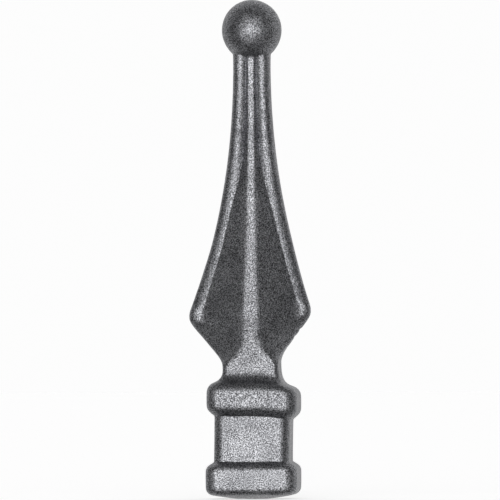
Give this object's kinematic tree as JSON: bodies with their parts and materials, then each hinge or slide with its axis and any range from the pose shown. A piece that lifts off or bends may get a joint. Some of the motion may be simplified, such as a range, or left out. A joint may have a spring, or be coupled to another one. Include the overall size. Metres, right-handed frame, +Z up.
{
  "type": "fence spear point",
  "caption": "Solid forged spear point with a ball tip, ribbed flaring blade, square neck and collared square base that stands or is welded on its flat underside.",
  "frame": {"origin": "middle of the flat underside of the lower collar", "axes": "+Z up along the spear to the ball, +X across the broad side of the blade, -Y to the front"},
  "size_m": [0.0367, 0.0274, 0.15],
  "materials": {
    "forged_steel": "shot-blasted raw forged steel, fine grain, satin"
  },
  "bodies": {
    "root": {"spear_point": "forged_steel"}
  },
  "joints": []
}
